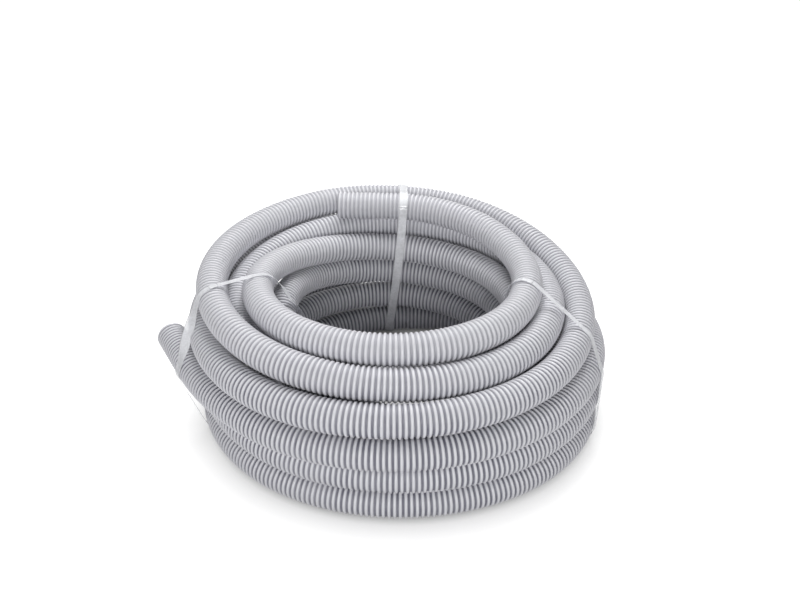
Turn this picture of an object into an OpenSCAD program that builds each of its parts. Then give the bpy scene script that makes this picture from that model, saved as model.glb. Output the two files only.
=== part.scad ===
// Coiled waste-water hose, held by three clear band ties.
// One ribbed hose is wound into about ten loops in two columns, with both cut ends left free.
// Millimetres, Z up. The coil lies on its ties, and the origin is under the middle of the part.

/* [Hose] */
// Bore of the hose
hose_bore = 25; // [18:0.5:32]
// Wall of the hose between two ribs
hose_wall = 1.5; // [1:0.1:3]
// Height of a rib above the wall
rib_height = 1.5; // [0.8:0.1:2.4]
// Distance from one rib to the next
rib_pitch = 4.8; // [4:0.1:6]
// Width of the flat crest of a rib
rib_crest = 1.7; // [1:0.1:2]
// Ribs on each straight hose end
end_ribs = 7; // [4:1:7]

/* [Coil] */
// Radius of the inner column of loops, to the middle of the hose
inner_loop_radius = 135; // [125:1:180]
// Clear space between loops that lie against each other
loop_gap = 0.9; // [0.7:0.1:3]
// Length of plain hose that runs straight into each hose end
straight_run = 29; // [28:1:34]

/* [Ties] */
// Width of each band tie
tie_width = 10; // [6:1:14]
// Thickness of the tie's film
tie_film = 0.6; // [0.5:0.1:1.2]
// Clearance between the ties and the hose
tie_gap = 0.3; // [0.2:0.1:0.6]
// Length of the doubled film where each tie is joined
lap_length = 12; // [8:1:16]
// Thickness that the lap adds to the tie
lap_film = 0.6; // [0.4:0.1:1]
// Place of the left tie, in turns of hose from the left side of the coil
left_tie_turn = 0.04; // [0.04:0.01:0.2]
// Place of the right tie, in turns of hose from the left side
right_tie_turn = 0.46; // [0.3:0.01:0.6]
// Place of the back tie, in turns of hose from the left side
back_tie_turn = 0.75; // [0.65:0.01:0.75]

/* [Hidden] */

rings_per_loop = 24;
ring_sides = 6;
hose_od = hose_bore + 2 * (hose_wall + rib_height);
loop_pitch = hose_od + loop_gap;
end_length = end_ribs * rib_pitch;
tie_clear = hose_od / 2 + tie_gap;
floor_height = tie_clear + tie_film;

// The lay of the hose, from its lower end to its upper end: [turn, lane, level].
// A lane is one hose pitch outward of the inner column, a level one hose pitch above the floor.
lay = [
  [-0.06, 3.80, 1.90], [0.04, 1.90, 1.92], [0.25, 1.75, 2.01], [0.50, 2.25, 2.00],
  [0.58, 2.15, 1.98], [0.75, 1.80, 1.15], [1.00, 1.60, 1.01], [1.25, 1.45, 1.00],
  [1.50, 2.34, 1.00], [1.58, 2.20, 0.96], [1.74, 1.80, 0.00], [2.00, 1.65, 0.00],
  [2.25, 1.35, 0.00], [2.30, 1.55, 0.00], [2.36, 1.82, 0.00], [2.46, 2.32, 0.00],
  [2.52, 2.15, 0.00], [2.62, 0.85, 0.00], [2.72, -0.05, 0.00], [2.90, 0.03, 0.00],
  [3.00, 0.05, 0.00], [3.42, 0.10, 0.00], [3.60, 0.02, 0.93], [3.75, 0.05, 1.04],
  [3.82, 0.12, 1.07], [3.88, 0.18, 1.09], [4.00, 0.10, 1.08], [4.12, 0.10, 1.00],
  [4.25, 0.10, 1.02], [4.40, 0.07, 1.33], [4.50, 0.05, 1.60], [4.60, 0.03, 1.98],
  [4.75, 0.01, 2.05], [4.80, 0.05, 2.11], [4.88, 0.05, 2.50], [4.94, -0.38, 2.91],
  [5.00, -1.05, 3.05], [5.10, -0.35, 2.05], [5.25, 0.50, 2.05], [5.50, 1.00, 2.05],
  [5.75, 1.75, 3.22], [5.82, 1.90, 3.29], [5.90, 1.90, 3.22], [6.00, 1.76, 2.95],
  [6.15, 1.71, 3.01], [6.30, 1.67, 3.02], [6.48, 1.70, 2.90], [6.60, 1.90, 3.65],
  [6.75, 1.85, 4.35], [7.00, 1.50, 4.20], [7.25, 0.80, 3.55], [7.37, 0.78, 3.43],
  [7.50, 0.75, 3.39], [7.75, 0.79, 3.68], [7.82, 0.82, 3.68], [7.88, 0.83, 3.64],
  [7.95, 0.92, 3.37], [8.00, 0.84, 3.18], [8.12, 0.35, 3.14], [8.25, -0.10, 3.05],
  [8.50, -0.20, 3.00], [8.75, -0.33, 3.12], [8.90, -0.18, 3.60], [9.00, 0.03, 4.08],
  [9.25, 0.05, 4.20], [9.50, 0.00, 4.05], [9.70, 0.10, 4.65], [9.76, 0.10, 4.65]
];
// The loops start at the left tie and end at the back tie.
first_ring = round(left_tie_turn * rings_per_loop);
last_ring = floor(lay[len(lay) - 1][0]) * rings_per_loop + round(back_tie_turn * rings_per_loop);
lay_lane = [for (row = lay) [row[0], row[1]]];
lay_level = [for (row = lay) [row[0], row[2]]];
// The lay is eased over this share of a turn to each side.
ease_turn = 0.09;
ease_steps = 6;

function sum(v, i = 0) = i == len(v) ? 0 : v[i] + sum(v, i + 1);
function unit(v) = v / norm(v);
function eased(turn, table) =
  sum([for (k = [-ease_steps : ease_steps]) lookup(turn + ease_turn * k / ease_steps, table)])
  / (2 * ease_steps + 1);

function loop_point(turn) =
  let (radius = inner_loop_radius + loop_pitch * eased(turn, lay_lane),
       angle = 180 + 360 * turn)
  [radius * cos(angle), radius * sin(angle), floor_height + loop_pitch * eased(turn, lay_level)];

loop_points = [for (k = [first_ring : last_ring]) loop_point(k / rings_per_loop)];
loop_last = len(loop_points) - 1;

// The hose leaves the loops along a level line that touches them.
tangent_turn = 0.01;
function level_unit(v) = unit([v[0], v[1], 0]);
lower_way = level_unit(loop_point(first_ring / rings_per_loop)
                       - loop_point(first_ring / rings_per_loop + tangent_turn));
upper_way = level_unit(loop_point(last_ring / rings_per_loop)
                       - loop_point(last_ring / rings_per_loop - tangent_turn));
lower_seat = loop_points[0] + lower_way * straight_run;
upper_seat = loop_points[loop_last] + upper_way * straight_run;
route = concat([lower_seat], loop_points, [upper_seat]);
route_last = len(route) - 1;

// Middle of the part in plan: the lower end reaches farthest left, the back tie farthest back.
xs = [for (p = route) p[0]];
ys = [for (p = route) p[1]];
last_crest = lower_seat + lower_way * (end_length - (rib_pitch - rib_crest) / 2);
left_side = min(min(xs) - hose_od / 2, last_crest[0] - hose_od / 2 * lower_way[1]);
plan_middle = [(left_side + max(xs) + hose_od / 2) / 2,
               (min(ys) - hose_od / 2 + max(ys) + tie_clear + tie_film) / 2, 0];

// Direction of the hose at a route point.
function way(i) =
  i == 0 ? -lower_way :
  i == route_last ? upper_way :
  unit(unit(route[i + 1] - route[i]) + unit(route[i] - route[i - 1]));

// One ring of points square to the hose; a corner lies outward, so flat sides lie above and below.
function ring(i, radius) =
  let (along = way(i), side = unit(cross(along, [0, 0, 1])), up = cross(side, along))
  [for (k = [0 : ring_sides - 1])
    let (a = 360 * k / ring_sides)
    route[i] + radius * (cos(a) * side + sin(a) * up)];

// Least gap of the whole hose to itself, between points at least half a loop apart.
hose_line = concat([lower_seat + lower_way * end_length], route, [upper_seat + upper_way * end_length]);
self_gap = min([for (i = [0 : len(hose_line) - 1])
  for (j = [i + rings_per_loop / 2 : 1 : len(hose_line) - 1])
    let (start = hose_line[j - 1], run = hose_line[j] - start,
         s = max(0, min(1, (hose_line[i] - start) * run / (run * run))))
    norm(hose_line[i] - start - s * run)]) - hose_od;
hose_length = sum([for (i = [1 : len(hose_line) - 1]) norm(hose_line[i] - hose_line[i - 1])]);
echo(least_gap_between_loops = self_gap, hose_length = hose_length);

// A bored tube swept along the route, as one closed skin.
module swept_tube(outer_radius, bore_radius) {
  count = route_last + 1;
  outer = [for (i = [0 : route_last]) each ring(i, outer_radius)];
  inner = [for (i = [0 : route_last]) each ring(i, bore_radius)];
  shift = count * ring_sides;
  function at(i, k) = i * ring_sides + (k % ring_sides);
  skin = [for (i = [0 : route_last - 1]) for (k = [0 : ring_sides - 1])
    each [[at(i, k), at(i, k + 1), at(i + 1, k + 1)], [at(i, k), at(i + 1, k + 1), at(i + 1, k)]]];
  bore = [for (t = skin) [shift + t[0], shift + t[2], shift + t[1]]];
  start_face = [for (k = [0 : ring_sides - 1])
    each [[at(0, k), shift + at(0, k), shift + at(0, k + 1)],
          [at(0, k), shift + at(0, k + 1), at(0, k + 1)]]];
  end_face = [for (k = [0 : ring_sides - 1])
    each [[at(route_last, k), at(route_last, k + 1), shift + at(route_last, k + 1)],
          [at(route_last, k), shift + at(route_last, k + 1), shift + at(route_last, k)]]];
  polyhedron(points = concat(outer, inner), faces = concat(skin, bore, start_face, end_face));
}

// Straight cut end of the hose, with its ribs and its round bore, along +Z from its seat.
module ribbed_end() {
  crest = hose_od / 2;
  groove = crest - rib_height;
  flank = (rib_pitch - rib_crest) / 4;
  profile = [for (k = [0 : end_ribs - 1])
    let (z = (k + 0.5) * rib_pitch)
    each [[groove, z - rib_crest / 2 - flank], [crest, z - rib_crest / 2],
          [crest, z + rib_crest / 2], [groove, z + rib_crest / 2 + flank]]];
  difference() {
    rotate_extrude($fn = 12)
      polygon(concat([[0, 0], [groove, 0]], profile, [[groove, end_length], [0, end_length]]));
    translate([0, 0, -1])
      cylinder(h = end_length + 2, d = hose_bore, $fn = 48);
  }
}

// Turns +Z of its children to a direction and moves them to a point.
module aim(point, direction) {
  translate(point)
    rotate([0, acos(direction[2]), atan2(direction[1], direction[0])])
      children();
}

// Where a stretch of hose passes through a tie, as two points [distance out, height].
// A circle of the hose's radius round each of them holds the slanted cut of the hose.
function cut_points(point, along, out) =
  let (slant = [along * out, along[2]], square = sqrt(1 - slant * slant),
       shift = slant * hose_od / 2 * norm(slant) / (square * (1 + square)),
       middle = [point * out, point[2]])
  [middle - shift, middle + shift];

// All cuts of the hose at the middle and at both edges of a tie.
function tie_cuts(ring_number) =
  let (angle = 180 + 360 * ring_number / rings_per_loop,
       out = [cos(angle), sin(angle), 0], across = [-sin(angle), cos(angle), 0])
  [for (i = [ring_number - first_ring + 1 : rings_per_loop : route_last - 1])
    let (back = unit(route[i - 1] - route[i]), ahead = unit(route[i + 1] - route[i]))
    each concat(cut_points(route[i], way(i), out),
                cut_points(route[i] + back * tie_width / 2 / abs(back * across), back, out),
                cut_points(route[i] + ahead * tie_width / 2 / abs(ahead * across), ahead, out))];

module cut_outline(cuts, radius) {
  hull()
    for (c = cuts)
      translate(c)
        circle(r = radius, $fn = 32);
}

// A closed band of film round all the loops, with its lap on top of the last of them.
module band_tie(turn) {
  ring_number = round(turn * rings_per_loop);
  cuts = tie_cuts(ring_number);
  lap_middle = cuts[len(cuts) - 6];
  angle = 180 + 360 * ring_number / rings_per_loop;
  rotate([0, 0, angle])
    rotate([90, 0, 0])
      translate([0, 0, -tie_width / 2])
        linear_extrude(tie_width) {
          difference() {
            cut_outline(cuts, tie_clear + tie_film);
            cut_outline(cuts, tie_clear);
          }
          intersection() {
            difference() {
              cut_outline(cuts, tie_clear + tie_film + lap_film);
              cut_outline(cuts, tie_clear + tie_film / 2);
            }
            translate(lap_middle - [lap_length / 2, 0])
              square([lap_length, 2 * tie_clear]);
          }
        }
}

module hose_coil() {
  color("gainsboro")
    translate(-plan_middle)
      swept_tube(hose_od / 2, hose_bore / 2);
}

module hose_end_lower() {
  color("gainsboro")
    translate(-plan_middle)
      aim(lower_seat, lower_way)
        ribbed_end();
}

module hose_end_upper() {
  color("gainsboro")
    translate(-plan_middle)
      aim(upper_seat, upper_way)
        ribbed_end();
}

module tie_back() {
  color("aliceblue", 0.6)
    translate(-plan_middle)
      band_tie(back_tie_turn);
}

module tie_left() {
  color("aliceblue", 0.6)
    translate(-plan_middle)
      band_tie(left_tie_turn);
}

module tie_right() {
  color("aliceblue", 0.6)
    translate(-plan_middle)
      band_tie(right_tie_turn);
}

hose_coil();
hose_end_lower();
hose_end_upper();
tie_back();
tie_left();
tie_right();
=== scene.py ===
import bpy
import math
import numpy as np
from mathutils.geometry import convex_hull_2d
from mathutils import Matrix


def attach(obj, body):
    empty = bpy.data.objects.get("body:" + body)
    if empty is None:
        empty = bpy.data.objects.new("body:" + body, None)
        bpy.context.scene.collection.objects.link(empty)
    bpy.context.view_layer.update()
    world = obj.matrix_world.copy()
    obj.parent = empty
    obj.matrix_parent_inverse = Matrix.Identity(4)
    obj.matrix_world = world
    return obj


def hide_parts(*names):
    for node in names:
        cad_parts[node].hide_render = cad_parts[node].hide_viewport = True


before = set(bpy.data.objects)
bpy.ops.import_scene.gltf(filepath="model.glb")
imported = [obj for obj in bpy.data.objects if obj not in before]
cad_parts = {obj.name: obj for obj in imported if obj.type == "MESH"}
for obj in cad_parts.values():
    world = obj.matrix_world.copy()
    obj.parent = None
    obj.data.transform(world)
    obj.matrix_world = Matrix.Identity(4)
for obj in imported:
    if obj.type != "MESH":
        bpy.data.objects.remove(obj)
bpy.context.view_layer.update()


def makeCamera():
    camera = {
        "place": (0.0200, -0.7663, 0.5683),
        "tiltDegrees": 30.3,
        "lens": 38.8,
        "sensor": 36,
        "nearest": 0.01,
        "farthest": 50,
    }
    data = bpy.data.cameras.new("camera")
    data.lens, data.sensor_width = camera["lens"], camera["sensor"]
    data.clip_start, data.clip_end = camera["nearest"], camera["farthest"]
    holder = bpy.data.objects.new("camera", data)
    holder.location = camera["place"]
    holder.rotation_euler = (math.radians(90 - camera["tiltDegrees"]), 0, 0)
    bpy.context.scene.collection.objects.link(holder)
    bpy.context.scene.camera = holder
    print("camera set")


# The hose and its coil, in metres. A lane is one hose pitch outward, a level one hose pitch upward.
hose = {
    "bore": 0.025,
    "wall": 0.0015,
    "ribHeight": 0.0015,
    "ribPitch": 0.0048,
    "ribCrest": 0.0017,
    "endRibs": 7,
    "innerLoopRadius": 0.135,
    "loopGap": 0.0009,
    "straightRun": 0.029,
    "restHeight": 0.0164,  # middle of the lowest strands above the floor
    "firstTurn": 1 / 24,
    "lastTurn": 9 + 18 / 24,
    "easeTurn": 0.09,  # the lay is averaged over this much to each side
    "easeSteps": 6,
    "tangentTurn": 0.01,  # how near to their ends the loops give the straight ends their way
    "finePoints": 7001,  # along the loops, before the line is spaced evenly
    "lineStep": 0.001,
    "bendSteps": 10,  # steps to each side over which the bends into the straight ends are eased
    "ringsPerLoop": 24,
    "sides": 24,
    "shadeFadesUpward": (0.110, 0.165, 0.28),  # from and to this height, and the share of painted groove shade lost
    "shadeLessInBends": 0.14,  # share of painted groove shade taken off where ribs close up inside a bend
    # One rib from groove to groove: share of the pitch, share of the rib height, how deep it lies
    # (which sets its painted shade).
    "ribShape": [
        (0.00, 0.00, 1.0), (0.17, 0.06, 1.0), (0.29, 0.82, 0.3),
        (0.50, 1.00, 0.0), (0.71, 0.82, 0.3), (0.83, 0.06, 1.0),
    ],
    # The lay from the lower end to the upper end: turn, lane, level.
    "lay": [
        (-0.06, 3.80, 1.90), (0.04, 1.90, 1.92), (0.25, 1.75, 2.01), (0.50, 2.25, 2.00),
        (0.58, 2.15, 1.98), (0.75, 1.80, 1.15), (1.00, 1.60, 1.01), (1.25, 1.45, 1.00),
        (1.50, 2.34, 1.00), (1.58, 2.20, 0.96), (1.74, 1.80, 0.00), (2.00, 1.65, 0.00),
        (2.25, 1.35, 0.00), (2.30, 1.55, 0.00), (2.36, 1.82, 0.00), (2.46, 2.32, 0.00),
        (2.52, 2.15, 0.00), (2.62, 0.85, 0.00), (2.72, -0.05, 0.00), (2.90, 0.03, 0.00),
        (3.00, 0.05, 0.00), (3.42, 0.10, 0.00), (3.60, 0.02, 0.93), (3.75, 0.05, 1.04),
        (3.82, 0.12, 1.07), (3.88, 0.18, 1.09), (4.00, 0.10, 1.08), (4.12, 0.10, 1.00),
        (4.25, 0.10, 1.02), (4.40, 0.07, 1.33), (4.50, 0.05, 1.60), (4.60, 0.03, 1.98),
        (4.75, 0.01, 2.05), (4.80, 0.05, 2.11), (4.88, 0.05, 2.50), (4.94, -0.38, 2.91),
        (5.00, -1.05, 3.05), (5.10, -0.35, 2.05), (5.25, 0.50, 2.05), (5.50, 1.00, 2.05),
        (5.75, 1.75, 3.22), (5.82, 1.90, 3.29), (5.90, 1.90, 3.22), (6.00, 1.76, 2.95),
        (6.15, 1.71, 3.01), (6.30, 1.67, 3.02), (6.48, 1.70, 2.90), (6.60, 1.90, 3.65),
        (6.75, 1.85, 4.35), (7.00, 1.50, 4.20), (7.25, 0.80, 3.55), (7.37, 0.78, 3.43),
        (7.50, 0.75, 3.39), (7.75, 0.79, 3.68), (7.82, 0.82, 3.68), (7.88, 0.83, 3.64),
        (7.95, 0.92, 3.37), (8.00, 0.84, 3.18), (8.12, 0.35, 3.14), (8.25, -0.10, 3.05),
        (8.50, -0.20, 3.00), (8.75, -0.33, 3.12), (8.90, -0.18, 3.60), (9.00, 0.03, 4.08),
        (9.25, 0.05, 4.20), (9.50, 0.00, 4.05), (9.70, 0.10, 4.65), (9.76, 0.10, 4.65),
    ],
}
hoseDiameter = hose["bore"] + 2 * (hose["wall"] + hose["ribHeight"])
loopPitch = hoseDiameter + hose["loopGap"]


def easedLay(turn, column):
    turns = [row[0] for row in hose["lay"]]
    values = [row[column] for row in hose["lay"]]
    steps = hose["easeSteps"]
    shifts = [hose["easeTurn"] * k / steps for k in range(-steps, steps + 1)]
    return np.mean([np.interp(turn + s, turns, values) for s in shifts], axis=0)


def loopPoints(turn):
    radius = hose["innerLoopRadius"] + loopPitch * easedLay(turn, 1)
    angle = np.pi + 2 * np.pi * turn
    height = hose["restHeight"] + loopPitch * easedLay(turn, 2)
    return np.stack([radius * np.cos(angle), radius * np.sin(angle), height], -1)


def lengthsAlong(points):
    return np.append(0.0, np.cumsum(np.linalg.norm(np.diff(points, axis=0), axis=1)))


def resampled(points, places):
    along = lengthsAlong(points)
    return np.stack([np.interp(places, along, points[:, i]) for i in range(3)], -1)


def levelWay(start, end):
    way = (end - start) * np.array([1.0, 1.0, 0.0])
    return way / np.linalg.norm(way)


def planMiddle(lowerSeat, lowerWay):
    # Middle of the part in plan: the lower end reaches farthest left, the back tie farthest back,
    # and that tie stands as far from its strand as the lowest strands stand above the floor.
    first, last = (int(round(hose[k] * hose["ringsPerLoop"])) for k in ("firstTurn", "lastTurn"))
    rings = loopPoints(np.arange(first, last + 1) / hose["ringsPerLoop"])
    half, ribs = hoseDiameter / 2, hose["endRibs"] * hose["ribPitch"]
    lastCrest = lowerSeat + lowerWay * (ribs - (hose["ribPitch"] - hose["ribCrest"]) / 2)
    left = min(rings[:, 0].min() - half, lastCrest[0] - half * lowerWay[1])
    right = rings[:, 0].max() + half
    front = rings[:, 1].min() - half
    back = rings[:, 1].max() + hose["restHeight"]
    return np.array([(left + right) / 2, (front + back) / 2, 0])


def hoseLine():
    # Straight lower end, all the loops and straight upper end, at even steps; and the coil's axis.
    first, last = hose["firstTurn"], hose["lastTurn"]
    loops = loopPoints(np.linspace(first, last, hose["finePoints"]))
    near = loopPoints(np.array([first + hose["tangentTurn"], last - hose["tangentTurn"]]))
    run = hose["straightRun"] + hose["endRibs"] * hose["ribPitch"]
    lowerWay = levelWay(near[0], loops[0])
    middle = planMiddle(loops[0] + lowerWay * hose["straightRun"], lowerWay)
    lowerTip = loops[0] + lowerWay * run
    upperTip = loops[-1] + levelWay(near[1], loops[-1]) * run
    line = np.vstack([lowerTip, loops, upperTip])
    total = lengthsAlong(line)[-1]
    steps = int(round(total / hose["lineStep"]))
    line = resampled(line, np.linspace(0, total, steps + 1)) - middle
    # A running average eases the bends into the straight ends.
    reach = hose["bendSteps"]
    head = line[0] - (line[1] - line[0]) * np.arange(reach, 0, -1)[:, None]
    tail = line[-1] + (line[-1] - line[-2]) * np.arange(1, reach + 1)[:, None]
    padded = np.cumsum(np.vstack([np.zeros(3), head, line, tail]), axis=0)
    return (padded[2 * reach + 1:] - padded[:-2 * reach - 1]) / (2 * reach + 1), -middle


def ringPoints(line, places, radii):
    centres = resampled(line, places)
    step = hose["lineStep"]
    ways = resampled(line, places + step) - resampled(line, places - step)
    ways /= np.linalg.norm(ways, axis=1)[:, None]
    sides = np.cross(ways, [0.0, 0.0, 1.0])
    sides /= np.linalg.norm(sides, axis=1)[:, None]
    ups = np.cross(sides, ways)
    turns = np.arange(hose["sides"]) * 2 * np.pi / hose["sides"]
    out = (np.cos(turns)[None, :, None] * sides[:, None, :]
           + np.sin(turns)[None, :, None] * ups[:, None, :])
    return centres[:, None, :] + radii[:, None, None] * out


def tubeQuads(rings, sides, shift, outward=True):
    # Faces between open rings of points, turned outward or into the bore.
    i, k = np.meshgrid(np.arange(rings - 1), np.arange(sides), indexing="ij")
    after = (k + 1) % sides
    quads = np.stack([i * sides + k, (i + 1) * sides + k,
                      (i + 1) * sides + after, i * sides + after], -1).reshape(-1, 4)
    return shift + (quads if outward else quads[:, ::-1])


def meshPiece(name, points, quads, smooth=True):
    mesh = bpy.data.meshes.new(name)
    mesh.vertices.add(len(points))
    mesh.vertices.foreach_set("co", np.ascontiguousarray(points, np.float32).ravel())
    mesh.loops.add(quads.size)
    mesh.loops.foreach_set("vertex_index", np.ascontiguousarray(quads, np.int32).ravel())
    mesh.polygons.add(len(quads))
    mesh.polygons.foreach_set("loop_start", np.arange(0, quads.size, 4, dtype=np.int32))
    mesh.polygons.foreach_set("use_smooth", np.full(len(quads), smooth))
    mesh.update(calc_edges=True)
    mesh.validate()
    piece = bpy.data.objects.new(name, mesh)
    bpy.context.scene.collection.objects.link(piece)
    return piece


def pointMask(piece, name, values):
    mask = piece.data.attributes.new(name, "FLOAT", "POINT")
    mask.data.foreach_set("value", np.ascontiguousarray(values, np.float32))


def paintedGrooveShade(skin, depth):
    # Painted shade by depth in the groove, less of it near the top of the coil and inside the
    # bends.
    low, high, lost = hose["shadeFadesUpward"]
    paintedShade = 1 - lost * np.clip((skin[..., 2] - low) / (high - low), 0, 1)
    fromAxis = np.linalg.norm((skin - coilAxis)[..., :2], axis=-1)
    inward = np.clip((fromAxis.mean(axis=1)[:, None] - fromAxis) / (hoseDiameter / 2), 0, 1)
    paintedShade *= 1 - hose["shadeLessInBends"] * inward
    return depth[:, None] * paintedShade


def makeHose(line):
    total = lengthsAlong(line)[-1]
    ribs = int(round(total / hose["ribPitch"]))
    pitch = total / ribs
    shape = np.array(hose["ribShape"])
    places = np.append(((np.arange(ribs)[:, None] + shape[None, :, 0]) * pitch).ravel(), total)
    rise = np.append(np.tile(shape[:, 1], ribs), 0.0)
    depth = np.append(np.tile(shape[:, 2], ribs), 1.0)
    grooveRadius = hoseDiameter / 2 - hose["ribHeight"]
    skin = ringPoints(line, places, grooveRadius + hose["ribHeight"] * rise)
    sides, rings, boreRings = hose["sides"], len(places), ribs + 1
    borePlaces = np.arange(boreRings) * pitch
    boreWall = ringPoints(line, borePlaces, np.full(boreRings, hose["bore"] / 2))
    points = np.vstack([skin.reshape(-1, 3), boreWall.reshape(-1, 3)])
    shift = rings * sides
    k = np.arange(sides)
    after = (k + 1) % sides
    startFace = np.stack([k, after, shift + after, shift + k], -1)
    lastRing, lastBore = (rings - 1) * sides, shift + (boreRings - 1) * sides
    endFace = np.stack([lastRing + k, lastBore + k, lastBore + after, lastRing + after], -1)
    outside = tubeQuads(rings, sides, 0)
    inside = tubeQuads(boreRings, sides, shift, outward=False)
    quads = np.vstack([outside, inside, startFace, endFace])
    piece = meshPiece("ribbedHose", points, quads)
    # Painted shade in the grooves, kept as a mask on the hose's points.
    paintedShade = paintedGrooveShade(skin, depth).ravel()
    borePoints = boreRings * sides
    pointMask(piece, "paintedGrooveShade", np.append(paintedShade, np.zeros(borePoints)))
    pointMask(piece, "insideBore", np.append(np.zeros(shift), np.ones(borePoints)))
    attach(piece, "root")
    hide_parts("hose_coil", "hose_end_lower", "hose_end_upper")
    print("hose made:", ribs, "ribs,", round(float(total), 3), "m,", len(quads), "faces")
    return piece


# The band ties. Each stands near its solid, turned and leaned a little as the film lies.
ties = {
    "width": 0.010,
    "film": 0.0003,
    "outerClearance": 0.00085,  # from the ribs to the outside of the film
    "swayTop": 0.150,  # height from which a band stands straight
    "swayPower": 1.5,
    "columns": 8,
    "step": 0.0015,
    "outlineSides": 48,
    "searchWidths": 2.5,  # strands are looked for within this many widths of the band
    "averagedSteps": 9,
    "restingTurn": 20,  # radians a metre; where the outline turns this fast, the film rests
    "restingSpread": 0.05,  # share of its width that film gains there
    "topFacing": (0.35, 0.60),  # how far film faces up before it counts as above, and fully so
    "rippleHeight": 0.00006,
    "longRipple": {"length": 0.013, "across": 2.2, "share": 1.0, "shift": 5},
    "shortRipple": {"length": 0.0071, "across": 1.7, "share": 0.6},
    "middleSinks": 0.00010,  # in free spans
    # Where the film is free enough to twist: it hardly rests, stands outward or this far inward of
    # the band's middle, isn't far below the middle of its outline and spans at least this much.
    "free": {"resting": 0.15, "inward": 0.03, "below": 0.02, "span": 0.02, "power": 1.5},
    "lapFilm": 0.0003,
    "lapTaper": 0.002,
    "lapTip": 0.25,  # share of its film that is left at the tips
    "lapWidth": 0.97,
    "lapRipple": 0.6,
    "lapOverlap": 0.00002,  # how far it goes into the band
    "bands": {
        "tie_back": {
            "piece": "backTie",
            "angle": 90,  # place round the coil's axis, degrees
            "reach": 0.140,  # distance from the axis
            "height": 0.0,
            "swing": 0,  # turn of the band's plane from straight outward, degrees
            "lean": -0.067,  # sideways for each metre upward
            "sway": 0.007,  # sideways at the foot
            "twist": (0, 0),  # of the free film outside and inside the coil, degrees
            "drawn": (0.95, 0.95),  # share of the width that is left above and at the sides
            "lap": (-0.006, 0.022),  # from and to, along the band
            "weld": 0.65,  # how milky the lap is
            "seed": 0.3,
        },
        "tie_left": {
            "piece": "leftTie", "angle": 194, "reach": 0.170, "height": 0.09, "swing": 20,
            "lean": 0.0, "sway": 0.0, "twist": (-50, -35), "drawn": (0.60, 1.10),
            "lap": (-0.006, 0.006), "weld": 0.2, "seed": 1.7,
        },
        "tie_right": {
            "piece": "rightTie", "angle": 342, "reach": 0.170, "height": 0.09, "swing": -12,
            "lean": 0.0, "sway": 0.0, "twist": (0, 0), "drawn": (0.58, 0.75),
            "lap": (-0.009, 0.006), "weld": 0.5, "seed": 2.9,
        },
    },
}


def grownHull(flat, radius):
    turns = np.arange(ties["outlineSides"]) * 2 * np.pi / ties["outlineSides"]
    circle = radius * np.stack([np.cos(turns), np.sin(turns)], -1)
    grown = (flat[:, None, :] + circle[None]).reshape(-1, 2)
    return grown[convex_hull_2d([tuple(p) for p in grown])]


def bandPlane(band):
    # The band's middle, and its ways outward, upward and across.
    angle, way = math.radians(band["angle"]), math.radians(band["angle"] + band["swing"])
    middle = coilAxis + band["reach"] * np.array([math.cos(angle), math.sin(angle), 0.0])
    middle[2] = band["height"]
    out = np.array([math.cos(way), math.sin(way), 0.0])
    across = np.array([-math.sin(way), math.cos(way), 0.0])
    lean = band["lean"]
    up = np.array([0.0, 0.0, 1.0]) + lean * across
    return middle, out, up, across - lean * np.array([0.0, 0.0, 1.0])


def bandSway(band, height):
    return band["sway"] * np.clip(1 - height / ties["swayTop"], 0, 1) ** ties["swayPower"]


def strandsInBand(line, band):
    # The skin of the strands that pass through the band, seen along the band's width.
    middle, out, _, across = bandPlane(band)
    near = np.abs((line - middle) @ across) < ties["width"] * ties["searchWidths"]
    outside = (line - middle) @ out > -band["reach"]
    places = lengthsAlong(line)[near & outside]
    skin = ringPoints(line, places, np.full(len(places), hoseDiameter / 2)).reshape(-1, 3)
    sideways = (skin - middle) @ across - bandSway(band, skin[:, 2])
    skin = skin[np.abs(sideways) < ties["width"] / 2]
    return np.stack([(skin - middle) @ out, (skin - middle)[:, 2]], -1)


def roundOutline(flat, clearance, start):
    # Outline of the band at even steps, from the point over the lap towards the inside of the coil.
    outline = grownHull(flat, clearance)
    following = np.roll(outline, -1, axis=0)
    area = np.sum(outline[:, 0] * following[:, 1] - following[:, 0] * outline[:, 1])
    outline = outline if area > 0 else outline[::-1]
    notUpper = outline[:, 1] < outline[:, 1].mean()
    first = int(np.argmin(np.where(notUpper, np.inf, np.abs(outline[:, 0] - start))))
    outline = np.roll(outline, -first, axis=0)
    closed = np.vstack([outline, outline[:1]])
    along = lengthsAlong(closed)
    steps = int(round(along[-1] / ties["step"]))
    places = np.arange(steps) * along[-1] / steps
    even = np.stack([np.interp(places, along, closed[:, i]) for i in range(2)], -1)
    ways = np.roll(even, -1, axis=0) - np.roll(even, 1, axis=0)
    ways /= np.linalg.norm(ways, axis=1)[:, None]
    normals = np.stack([ways[:, 1], -ways[:, 0]], -1)
    return even, normals, places, along[-1]


def filmStrip(band, even, normals, outside, inside, spread, ripple, twist):
    # Two skins of film joined at their edges; spread is the width's share at each point.
    middle, out, up, across = bandPlane(band)
    columns = np.linspace(-0.5, 0.5, ties["columns"] + 1)
    wide = columns[None, :] * spread[:, None] * ties["width"]
    sideways = wide * np.cos(twist)[:, None] + bandSway(band, middle[2] + even[:, 1])[:, None]
    skins = []
    for offset in (outside, inside):
        lift = wide * np.sin(twist)[:, None] - offset[:, None] - ripple
        flat = even[:, None, :] + normals[:, None, :] * lift[..., None]
        inPlane = middle + flat[..., :1] * out + flat[..., 1:] * up
        skins.append(inPlane + sideways[..., None] * across)
    return np.concatenate([skins[0], skins[1][:, ::-1]], axis=1)


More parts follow.
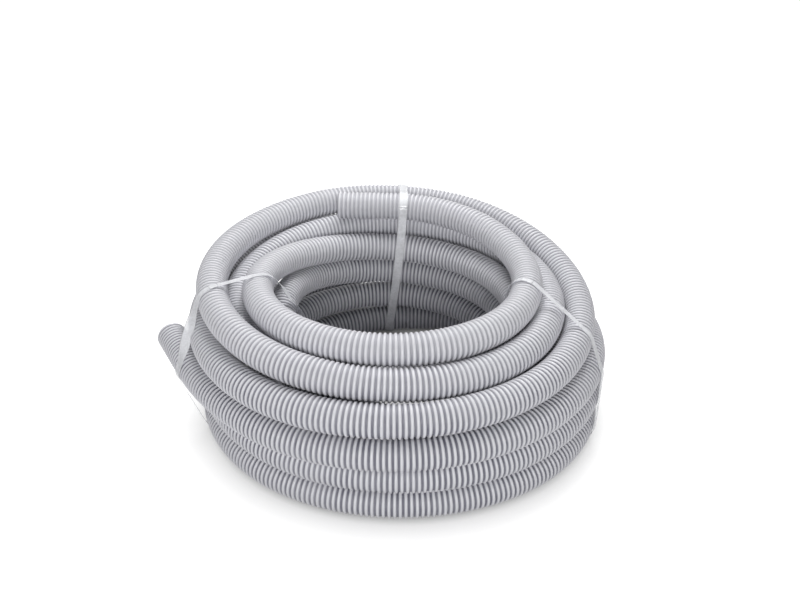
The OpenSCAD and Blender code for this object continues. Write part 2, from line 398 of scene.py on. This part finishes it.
def freeTwist(band, even, resting):
    # The film turns over in its free spans beside the coil and lies flat at their ends.
    count, limits = len(even), ties["free"]
    aside = (even[:, 0] > 0.0) | (even[:, 0] < -limits["inward"])
    high = even[:, 1] > even[:, 1].mean() - limits["below"]
    free = (resting < limits["resting"]) & aside & high
    twist = np.zeros(count)
    starts = [i for i in range(count) if free[i] and not free[i - 1]]
    for start in starts:
        span = 0
        while free[(start + span) % count]:
            span += 1
        if span * ties["step"] > limits["span"]:
            share = np.sin(np.pi * np.arange(span) / span) ** limits["power"]
            degrees = band["twist"][0 if even[start, 0] > 0 else 1]
            twist[(start + np.arange(span)) % count] = math.radians(degrees) * share
    return twist


def stripQuads(rings, around, closed):
    # Faces of the film between its rings of points; a closed band joins the last to the first.
    i, k = np.meshgrid(np.arange(rings if closed else rings - 1), np.arange(around), indexing="ij")
    nextRing, after = (i + 1) % rings, (k + 1) % around
    return np.stack([i * around + k, i * around + after,
                     nextRing * around + after, nextRing * around + k], -1).reshape(-1, 4)


def smoothed(values):
    # Average over neighbours round a closed outline.
    count, window = len(values), np.ones(ties["averagedSteps"]) / ties["averagedSteps"]
    return np.convolve(np.tile(values, 3), window, "same")[count:2 * count]


def filmRipple(places, column, resting, seed):
    # Small waves all along the film, and in free spans its middle sinks.
    long, short = ties["longRipple"], ties["shortRipple"]
    longAlong = np.sin(places * 2 * np.pi / long["length"] + seed * long["shift"])[:, None]
    longAcross = np.cos(column * long["across"] + seed)[None, :]
    shortAlong = np.sin(places * 2 * np.pi / short["length"] + seed)[:, None]
    shortAcross = np.sin(column * short["across"])[None, :]
    wave = long["share"] * longAlong * longAcross + short["share"] * shortAlong * shortAcross
    waves = ties["rippleHeight"] * (1 + wave / (long["share"] + short["share"]))
    return waves + ties["middleSinks"] * (1 - resting)[:, None] * (1 - column[None, :] ** 2)


def makeTie(line, node, band):
    flat = strandsInBand(line, band)
    top = flat[np.argmax(flat[:, 1])]
    even, normals, places, total = roundOutline(flat, ties["outerClearance"], top[0])
    count, columns = len(even), ties["columns"] + 1
    # Where the outline turns, the film rests on a strand; elsewhere it is free.
    turnRate = np.abs(np.cross(normals, np.roll(normals, -1, axis=0))) / (total / count)
    resting = np.clip(smoothed(turnRate) / ties["restingTurn"], 0, 1)
    # The film is drawn in by its own share above the coil and at its sides.
    low, high = ties["topFacing"]
    above = np.clip((normals[:, 1] - low) / (high - low), 0, 1)
    drawn = band["drawn"][0] * above + band["drawn"][1] * (1 - above)
    spread = smoothed(drawn) + ties["restingSpread"] * resting
    ripple = filmRipple(places, np.linspace(-1, 1, columns), resting, band["seed"])
    zero = np.zeros(count)
    twist = freeTwist(band, even, resting)
    body = filmStrip(band, even, normals, zero, zero + ties["film"], spread, ripple, twist)
    around = body.shape[1]
    points, quads = [body.reshape(-1, 3)], [stripQuads(count, around, True)]
    weld = [np.zeros(count * around)]
    # The lap: a second layer of film with tapered tips, welded across near its middle.
    low, high = band["lap"]
    signed = np.where(places > total / 2, places - total, places)
    order = np.argsort(signed)
    order = order[(signed[order] >= low) & (signed[order] <= high)]
    fromTips = np.minimum(signed[order] - low, high - signed[order])
    taper = np.minimum(1, fromTips / ties["lapTaper"])
    outside = -ties["lapFilm"] * (ties["lapTip"] + (1 - ties["lapTip"]) * taper)
    inside = zero[order] + ties["lapOverlap"]
    lap = filmStrip(band, even[order], normals[order], outside, inside,
                    spread[order] * ties["lapWidth"], ripple[order] * ties["lapRipple"],
                    twist[order])
    points.append(lap.reshape(-1, 3))
    quads.append(count * around + stripQuads(len(order), around, False))
    caps = []
    for ring in (0, len(order) - 1):
        base = count * around + ring * around
        for k in range(columns - 1):
            face = [base + k, base + k + 1, base + around - 2 - k, base + around - 1 - k]
            caps.append(face if ring else face[::-1])
    quads.append(np.array(caps))
    weld.append(band["weld"] * np.repeat(np.clip(taper, 0, 1), around))
    quads = np.vstack(quads)
    piece = meshPiece(band["piece"], np.vstack(points), quads)
    pointMask(piece, "lapWeld", np.concatenate(weld))
    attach(piece, "root")
    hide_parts(node)
    print(piece.name, "made:", round(float(total), 3), "m round,", len(quads), "faces")
    return piece


def newGroup(name, inputs, outputs):
    group = bpy.data.node_groups.new(name, "ShaderNodeTree")
    for label, kind, value in inputs:
        socket = group.interface.new_socket(name=label, in_out="INPUT", socket_type=kind)
        socket.default_value = value
    for label, kind in outputs:
        group.interface.new_socket(name=label, in_out="OUTPUT", socket_type=kind)
    return group, group.nodes.new("NodeGroupInput"), group.nodes.new("NodeGroupOutput")


def addNode(tree, kind, **settings):
    made = tree.nodes.new(kind)
    for key, value in settings.items():
        setattr(made, key, value)
    return made


def rangeNode(tree, value, low, high, toLow, toHigh):
    made = addNode(tree, "ShaderNodeMapRange")
    for i, number in enumerate((low, high, toLow, toHigh)):
        made.inputs[i + 1].default_value = number
    tree.links.new(value, made.inputs[0])
    return made.outputs[0]


def mathNode(tree, operation, *values, clamp=False):
    made = addNode(tree, "ShaderNodeMath", operation=operation, use_clamp=clamp)
    for i, value in enumerate(values):
        if isinstance(value, (int, float)):
            made.inputs[i].default_value = value
        else:
            tree.links.new(value, made.inputs[i])
    return made.outputs[0]


def noiseNode(tree, place, scale, detail, roughness=0.55):
    made = addNode(tree, "ShaderNodeTexNoise")
    made.inputs["Detail"].default_value = detail
    made.inputs["Roughness"].default_value = roughness
    tree.links.new(place, made.inputs["Vector"])
    tree.links.new(scale, made.inputs["Scale"])
    return made.outputs[0]


def colourMix(tree, factor, first, second):
    made = addNode(tree, "ShaderNodeMix", data_type="RGBA")
    tree.links.new(factor, made.inputs[0])
    for socket, value in ((made.inputs[6], first), (made.inputs[7], second)):  # its colours A and B
        if isinstance(value, tuple):
            socket.default_value = (*value, 1.0)
        else:
            tree.links.new(value, socket)
    return made.outputs[2]


def mottleGroup():
    # Soft uneven tone of moulded plastic: a colour made lighter and darker in broad patches.
    patches = {"broadDetail": 4.0, "finerDetail": 2.0, "finerScale": 7.3,
               "broadShare": 0.65, "finerShare": 0.35, "contrast": (0.35, 0.65)}
    group, given, out = newGroup(
        "softMottle",
        [("Color", "NodeSocketColor", (0.8, 0.8, 0.8, 1)), ("Scale", "NodeSocketFloat", 9.0),
         ("Amount", "NodeSocketFloat", 0.06), ("Patches", "NodeSocketFloat", 0.5)],
        [("Color", "NodeSocketColor"), ("Mask", "NodeSocketFloat")])
    place = addNode(group, "ShaderNodeTexCoord").outputs["Object"]
    scale = given.outputs["Scale"]
    finerScale = mathNode(group, "MULTIPLY", scale, patches["finerScale"])
    broad = noiseNode(group, place, scale, patches["broadDetail"])
    finer = noiseNode(group, place, finerScale, patches["finerDetail"])
    mixed = mathNode(group, "ADD", mathNode(group, "MULTIPLY", broad, patches["broadShare"]),
                     mathNode(group, "MULTIPLY", finer, patches["finerShare"]))
    mask = rangeNode(group, mixed, *patches["contrast"], 0.0, 1.0)
    fromMiddle = mathNode(group, "SUBTRACT", mask, given.outputs["Patches"])
    swing = mathNode(group, "MULTIPLY", fromMiddle, given.outputs["Amount"])
    scaled = addNode(group, "ShaderNodeVectorMath", operation="SCALE")
    group.links.new(given.outputs["Color"], scaled.inputs[0])
    group.links.new(mathNode(group, "ADD", swing, 1.0), scaled.inputs["Scale"])
    group.links.new(scaled.outputs[0], out.inputs["Color"])
    group.links.new(mask, out.inputs["Mask"])
    return group


def grainGroup():
    # Fine surface texture as a height, and the roughness that goes with it.
    texture = {"detail": 2.0, "roughness": 0.6, "broadScale": 0.07, "broadDetail": 3.0}
    group, given, out = newGroup(
        "fineGrain",
        [("Scale", "NodeSocketFloat", 900.0), ("Depth", "NodeSocketFloat", 1.0),
         ("Roughness", "NodeSocketFloat", 0.4), ("Swing", "NodeSocketFloat", 0.1)],
        [("Height", "NodeSocketFloat"), ("Roughness", "NodeSocketFloat")])
    place = addNode(group, "ShaderNodeTexCoord").outputs["Object"]
    scale = given.outputs["Scale"]
    broadScale = mathNode(group, "MULTIPLY", scale, texture["broadScale"])
    grain = noiseNode(group, place, scale, texture["detail"], texture["roughness"])
    broad = noiseNode(group, place, broadScale, texture["broadDetail"])
    height = mathNode(group, "MULTIPLY", grain, given.outputs["Depth"])
    group.links.new(height, out.inputs["Height"])
    fromMiddle = mathNode(group, "SUBTRACT", broad, 0.5)
    swing = mathNode(group, "MULTIPLY", fromMiddle, given.outputs["Swing"])
    group.links.new(mathNode(group, "ADD", given.outputs["Roughness"], swing, clamp=True),
                    out.inputs["Roughness"])
    return group


def placeGroup(tree, group, **values):
    made = addNode(tree, "ShaderNodeGroup", node_tree=group)
    for label, value in values.items():
        made.inputs[label].default_value = value
    return made


def newMaterial(name):
    material = bpy.data.materials.new(name)
    material.use_nodes = True
    return material, material.node_tree, material.node_tree.nodes["Principled BSDF"]


def pointValue(tree, name):
    return addNode(tree, "ShaderNodeAttribute", attribute_name=name).outputs["Fac"]


def fineBump(tree, shader, height, look):
    bump = addNode(tree, "ShaderNodeBump")
    bump.inputs["Strength"].default_value = look["bumpStrength"]
    bump.inputs["Distance"].default_value = look["bumpDepth"]
    tree.links.new(height, bump.inputs["Height"])
    tree.links.new(bump.outputs[0], shader.inputs["Normal"])


def hoseMaterial(mottle, grain):
    look = {
        "colour": (0.70, 0.70, 0.735, 1),
        "patchScale": 11.0,
        "patchAmount": 0.10,
        # The groove colour and its shares paint shade into the grooves.
        "grooveShadeColour": (0.14, 0.14, 0.175),
        "grooveShadeShare": 0.96,
        "grooveShadePower": 1.6,  # higher keeps the painted shade deeper in the grooves
        "shadeSwing": (0.8, 1.15),
        "boreColour": (0.34, 0.34, 0.36),
        "boreShare": 0.8,
        "roughness": 0.36,
        "roughnessSwing": 0.16,
        "grooveRoughness": 0.15,
        "grainScale": 1400.0,
        "bumpStrength": 0.12,
        "bumpDepth": 0.0002,
        "refraction": 1.48,
    }
    material, tree, shader = newMaterial("satinGreyHose")
    toned = placeGroup(tree, mottle, Color=look["colour"], Scale=look["patchScale"],
                       Amount=look["patchAmount"])
    paintedShade, inside = pointValue(tree, "paintedGrooveShade"), pointValue(tree, "insideBore")
    # Painted shade in the grooves, uneven from patch to patch, and the plainer tone of the bore.
    deepest = mathNode(tree, "POWER", paintedShade, look["grooveShadePower"])
    grooveShade = mathNode(tree, "MULTIPLY", deepest, look["grooveShadeShare"])
    swing = rangeNode(tree, toned.outputs["Mask"], 0, 1, *look["shadeSwing"])
    uneven = mathNode(tree, "MULTIPLY", grooveShade, swing)
    darker = colourMix(tree, uneven, toned.outputs["Color"], look["grooveShadeColour"])
    boreShare = mathNode(tree, "MULTIPLY", inside, look["boreShare"])
    colour = colourMix(tree, boreShare, darker, look["boreColour"])
    tree.links.new(colour, shader.inputs["Base Color"])
    texture = placeGroup(tree, grain, Scale=look["grainScale"], Depth=1.0,
                         Roughness=look["roughness"], Swing=look["roughnessSwing"])
    rougher = mathNode(tree, "MULTIPLY", paintedShade, look["grooveRoughness"])
    roughness = mathNode(tree, "ADD", texture.outputs["Roughness"], rougher)
    tree.links.new(roughness, shader.inputs["Roughness"])
    fineBump(tree, shader, texture.outputs["Height"], look)
    shader.inputs["IOR"].default_value = look["refraction"]
    return material


def tieMaterial(mottle, grain):
    look = {
        "colour": (0.90, 0.91, 0.94, 1),
        "patchScale": 60.0,
        "patchAmount": 0.06,
        "clear": 0.46,  # opacity of the clearest film
        "milky": 0.22,  # opacity that the milky patches add
        "lap": 0.45,  # opacity that a full weld adds
        "roughness": 0.14,
        "roughnessSwing": 0.2,
        "grainScale": 260.0,
        "bumpStrength": 0.25,
        "bumpDepth": 0.0003,
        "refraction": 1.45,
    }
    material, tree, shader = newMaterial("clearTieFilm")
    toned = placeGroup(tree, mottle, Color=look["colour"], Scale=look["patchScale"],
                       Amount=look["patchAmount"])
    tree.links.new(toned.outputs["Color"], shader.inputs["Base Color"])
    milky = mathNode(tree, "MULTIPLY", toned.outputs["Mask"], look["milky"])
    film = mathNode(tree, "ADD", milky, look["clear"])
    lap = mathNode(tree, "MULTIPLY", pointValue(tree, "lapWeld"), look["lap"])
    opacity = mathNode(tree, "ADD", film, lap, clamp=True)
    tree.links.new(opacity, shader.inputs["Alpha"])
    texture = placeGroup(tree, grain, Scale=look["grainScale"], Depth=1.0,
                         Roughness=look["roughness"], Swing=look["roughnessSwing"])
    tree.links.new(texture.outputs["Roughness"], shader.inputs["Roughness"])
    fineBump(tree, shader, texture.outputs["Height"], look)
    shader.inputs["IOR"].default_value = look["refraction"]
    return material


def lightPathMask(tree):
    path = addNode(tree, "ShaderNodeLightPath")
    seen = mathNode(tree, "MAXIMUM", path.outputs["Is Camera Ray"], path.outputs["Is Glossy Ray"])
    return mathNode(tree, "MAXIMUM", seen, path.outputs["Is Transmission Ray"])


def makeFloor():
    floorLook = {
        "half": 6.0,
        "seen": (0.45, 0.45, 0.45),
        "bounced": (0.50, 0.50, 0.51),
        "glow": 0.96,
        "roughness": 0.8,
        "gloss": 0.1,
        "shadowReach": 0.05,
        "shadowPower": 0.8,
        "shadowSamples": 8,
        "insideCoil": (0.125, 0.155),  # from the coil's axis: full shade up to here, none from here
        "insideShare": 0.15,
    }
    half = floorLook["half"]
    points = np.array([(-half, -half, 0), (half, -half, 0), (half, half, 0), (-half, half, 0)])
    floor = meshPiece("floor", points, np.array([[0, 1, 2, 3]]), smooth=False)
    material, tree, shader = newMaterial("paleFloor")
    seen = lightPathMask(tree)
    paint = colourMix(tree, seen, floorLook["bounced"], floorLook["seen"])
    tree.links.new(paint, shader.inputs["Base Color"])
    shader.inputs["Roughness"].default_value = floorLook["roughness"]
    shader.inputs["Specular IOR Level"].default_value = floorLook["gloss"]
    # The white of the backdrop, dimmed by a painted shadow where the object stands over the floor.
    openness = addNode(tree, "ShaderNodeAmbientOcclusion", samples=floorLook["shadowSamples"])
    openness.inputs["Distance"].default_value = floorLook["shadowReach"]
    shadow = mathNode(tree, "POWER", openness.outputs["AO"], floorLook["shadowPower"])
    # Painted shade in the coil's hole: little of the backdrop's white reaches the floor inside the
    # coil.
    fromAxis = addNode(tree, "ShaderNodeVectorMath", operation="DISTANCE")
    tree.links.new(addNode(tree, "ShaderNodeTexCoord").outputs["Object"], fromAxis.inputs[0])
    fromAxis.inputs[1].default_value = tuple(coilAxis)
    reached = rangeNode(tree, fromAxis.outputs["Value"], *floorLook["insideCoil"],
                        floorLook["insideShare"], 1)
    lit = mathNode(tree, "MULTIPLY", seen, mathNode(tree, "MULTIPLY", shadow, reached))
    glow = addNode(tree, "ShaderNodeEmission")
    glow.inputs["Color"].default_value = (1, 1, 1, 1)
    strength = mathNode(tree, "MULTIPLY", lit, floorLook["glow"])
    tree.links.new(strength, glow.inputs["Strength"])
    both = addNode(tree, "ShaderNodeAddShader")
    tree.links.new(shader.outputs[0], both.inputs[0])
    tree.links.new(glow.outputs[0], both.inputs[1])
    tree.links.new(both.outputs[0], tree.nodes["Material Output"].inputs["Surface"])
    floor.data.materials.append(material)


def makeWorld():
    worldLight = {"colour": (1, 1, 1, 1), "strength": 0.17, "backdrop": (1, 1, 1, 1)}
    world = bpy.data.worlds.new("studio")
    bpy.context.scene.world = world
    world.use_nodes = True
    tree = world.node_tree
    plain = tree.nodes["Background"]
    plain.inputs["Color"].default_value = worldLight["colour"]
    plain.inputs["Strength"].default_value = worldLight["strength"]
    backdrop = addNode(tree, "ShaderNodeBackground")
    backdrop.inputs["Color"].default_value = worldLight["backdrop"]
    backdrop.inputs["Strength"].default_value = 1.0
    both = addNode(tree, "ShaderNodeMixShader")
    tree.links.new(lightPathMask(tree), both.inputs[0])
    tree.links.new(plain.outputs[0], both.inputs[1])
    tree.links.new(backdrop.outputs[0], both.inputs[2])
    tree.links.new(both.outputs[0], tree.nodes["World Output"].inputs["Surface"])


def makeLamps():
    lamps = {
        "frontLamp": {"place": (0.05, -1.50, 0.70), "side": 0.5, "power": 11.6},
        "leftLamp": {"place": (-0.60, -1.60, 0.50), "side": 0.8, "power": 4.0},
        "backLamp": {"place": (0.10, 0.65, 1.42), "side": 1.0, "power": 21.5},
    }
    aimHeight = 0.08  # the lamps point at the middle of the coil
    for name, lamp in lamps.items():
        data = bpy.data.lights.new(name, "AREA")
        data.size, data.energy = lamp["side"], lamp["power"]
        holder = bpy.data.objects.new(name, data)
        holder.location = lamp["place"]
        way = -holder.location
        way.z += aimHeight
        holder.rotation_euler = way.to_track_quat("-Z", "Y").to_euler()
        bpy.context.scene.collection.objects.link(holder)


makeCamera()
line, coilAxis = hoseLine()
hosePiece = makeHose(line)
tiePieces = [makeTie(line, node, band) for node, band in ties["bands"].items()]
mottle, grain = mottleGroup(), grainGroup()
hosePiece.data.materials.append(hoseMaterial(mottle, grain))
film = tieMaterial(mottle, grain)
for piece in tiePieces:
    piece.data.materials.append(film)
print("materials made")
makeFloor()
makeWorld()
makeLamps()
bpy.context.scene.view_settings.view_transform = "Standard"
print("floor, world and lamps made")
